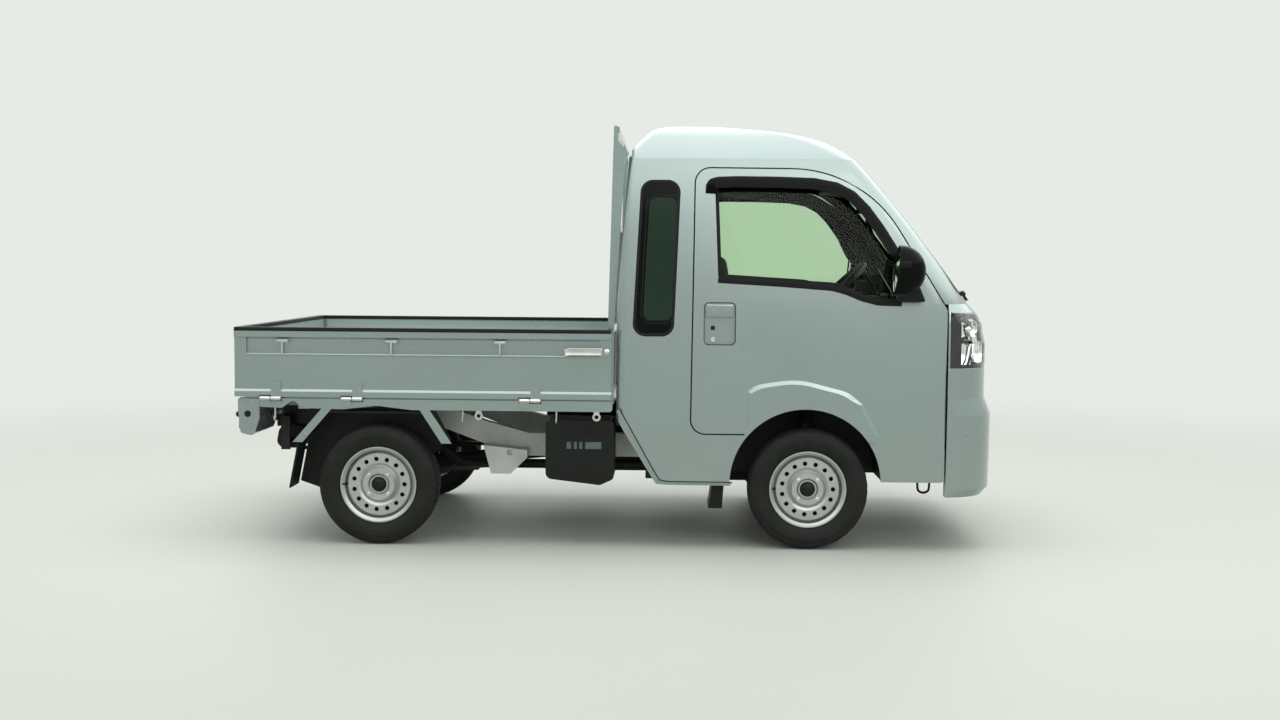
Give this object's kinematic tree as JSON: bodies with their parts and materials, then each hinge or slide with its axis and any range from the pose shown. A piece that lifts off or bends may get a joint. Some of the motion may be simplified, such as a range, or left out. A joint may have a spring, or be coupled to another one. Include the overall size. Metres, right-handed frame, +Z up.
{
  "type": "kei truck",
  "caption": "compact cab-over kei truck with a high-roof extended cab, drop-side flat bed, steering front wheels, opening doors, gates and bonnet",
  "frame": {"origin": "on the ground under the middle of the truck's length and width", "axes": "X forward, Y to the truck's left, Z up"},
  "size_m": [3.395, 1.795, 1.885],
  "materials": {
    "body_paint": "metallic silver",
    "glass": "green tint",
    "lamp_clear": "clear lens over chrome",
    "lamp_red": "gloss",
    "black_plastic": "matte",
    "mirror_shell": "gloss",
    "seat_cloth": "woven",
    "dark_steel": "painted",
    "tyre": "matte",
    "wheel_steel": "silver paint"
  },
  "bodies": {
    "truck": {"frame": "body_paint", "cab_floor": "body_paint", "cab_side_right": "body_paint", "cab_side_left": "body_paint", "cab_back": "body_paint", "cab_roof": "body_paint", "cab_front": "body_paint", "front_bumper": "body_paint", "front_grille": "black_plastic", "headlamps": "lamp_clear", "windscreen": "glass", "rear_windows": "glass", "wheel_houses": "black_plastic", "dashboard": "black_plastic", "steering_column": "black_plastic", "seats": "seat_cloth", "wipers": "black_plastic", "engine": "dark_steel", "exhaust": "dark_steel", "front_suspension": "dark_steel", "rear_axle": "dark_steel", "leaf_springs": "dark_steel", "bed_floor": "body_paint", "guard_frame": "body_paint", "rear_apron": "body_paint", "tail_lamps": "lamp_red", "battery_box": "black_plastic", "fuel_tank": "black_plastic", "mudguards": "black_plastic", "tie_rings": "dark_steel", "tow_eye": "dark_steel"},
    "bonnet": {"bonnet": "body_paint"},
    "door_right": {"door_right": "body_paint", "door_glass_right": "glass", "door_mirror_right": "mirror_shell"},
    "door_left": {"door_left": "body_paint", "door_glass_left": "glass", "door_mirror_left": "mirror_shell"},
    "gate_right": {"gate_right": "body_paint"},
    "gate_left": {"gate_left": "body_paint"},
    "gate_rear": {"gate_rear": "body_paint"},
    "knuckle_right": {"knuckle_right": "dark_steel"},
    "knuckle_left": {"knuckle_left": "dark_steel"},
    "steering_wheel": {"steering_wheel": "black_plastic"},
    "wheel_front_right": {"tyre_front_right": "tyre", "rim_front_right": "wheel_steel"},
    "wheel_front_left": {"tyre_front_left": "tyre", "rim_front_left": "wheel_steel"},
    "wheel_rear_right": {"tyre_rear_right": "tyre", "rim_rear_right": "wheel_steel"},
    "wheel_rear_left": {"tyre_rear_left": "tyre", "rim_rear_left": "wheel_steel"}
  },
  "joints": [
    {"name": "steer_right", "type": "hinge", "parent": "truck", "child": "knuckle_right", "pos_m": [0.8365, -0.548, 0.265], "axis": [0, 0, 1], "range_deg": [-33, 33]},
    {"name": "steer_left", "type": "hinge", "parent": "truck", "child": "knuckle_left", "pos_m": [0.8365, 0.548, 0.265], "axis": [0, 0, 1], "range_deg": [-33, 33]},
    {"name": "steering_turn", "type": "hinge", "parent": "truck", "child": "steering_wheel", "pos_m": [0.985, -0.33, 1.13], "axis": [-0.7071, 0, 0.7071], "range_deg": [-500, 500]},
    {"name": "door_right_swing", "type": "hinge", "parent": "truck", "child": "door_right", "pos_m": [1.417, -0.7195, 0.7], "axis": [0, 0, 1], "range_deg": [0, 65]},
    {"name": "door_left_swing", "type": "hinge", "parent": "truck", "child": "door_left", "pos_m": [1.417, 0.7195, 0.7], "axis": [0, 0, -1], "range_deg": [0, 65]},
    {"name": "gate_right_drop", "type": "hinge", "parent": "truck", "child": "gate_right", "pos_m": [-0.86, -0.7375, 0.648], "axis": [1, 0, 0], "range_deg": [0, 175]},
    {"name": "gate_left_drop", "type": "hinge", "parent": "truck", "child": "gate_left", "pos_m": [-0.86, 0.7375, 0.648], "axis": [-1, 0, 0], "range_deg": [0, 175]},
    {"name": "gate_rear_drop", "type": "hinge", "parent": "truck", "child": "gate_rear", "pos_m": [-1.6885, 0, 0.648], "axis": [0, -1, 0], "range_deg": [0, 175]},
    {"name": "bonnet_lift", "type": "hinge", "parent": "truck", "child": "bonnet", "pos_m": [1.602, 0, 1.06], "axis": [0, -1, 0], "range_deg": [0, 50]},
    {"name": "spin_front_right", "type": "hinge", "parent": "knuckle_right", "child": "wheel_front_right", "pos_m": [0.8365, -0.65, 0.265], "axis": [0, 1, 0], "continuous": true},
    {"name": "spin_front_left", "type": "hinge", "parent": "knuckle_left", "child": "wheel_front_left", "pos_m": [0.8365, 0.65, 0.265], "axis": [0, 1, 0], "continuous": true},
    {"name": "spin_rear_right", "type": "hinge", "parent": "truck", "child": "wheel_rear_right", "pos_m": [-1.0635, -0.65, 0.265], "axis": [0, 1, 0], "continuous": true},
    {"name": "spin_rear_left", "type": "hinge", "parent": "truck", "child": "wheel_rear_left", "pos_m": [-1.0635, 0.65, 0.265], "axis": [0, 1, 0], "continuous": true}
  ],
  "couplings": [
    {"joint": "steer_left", "follows": "steer_right", "ratio": 1},
    {"joint": "steering_turn", "follows": "steer_right", "ratio": 15}
  ]
}
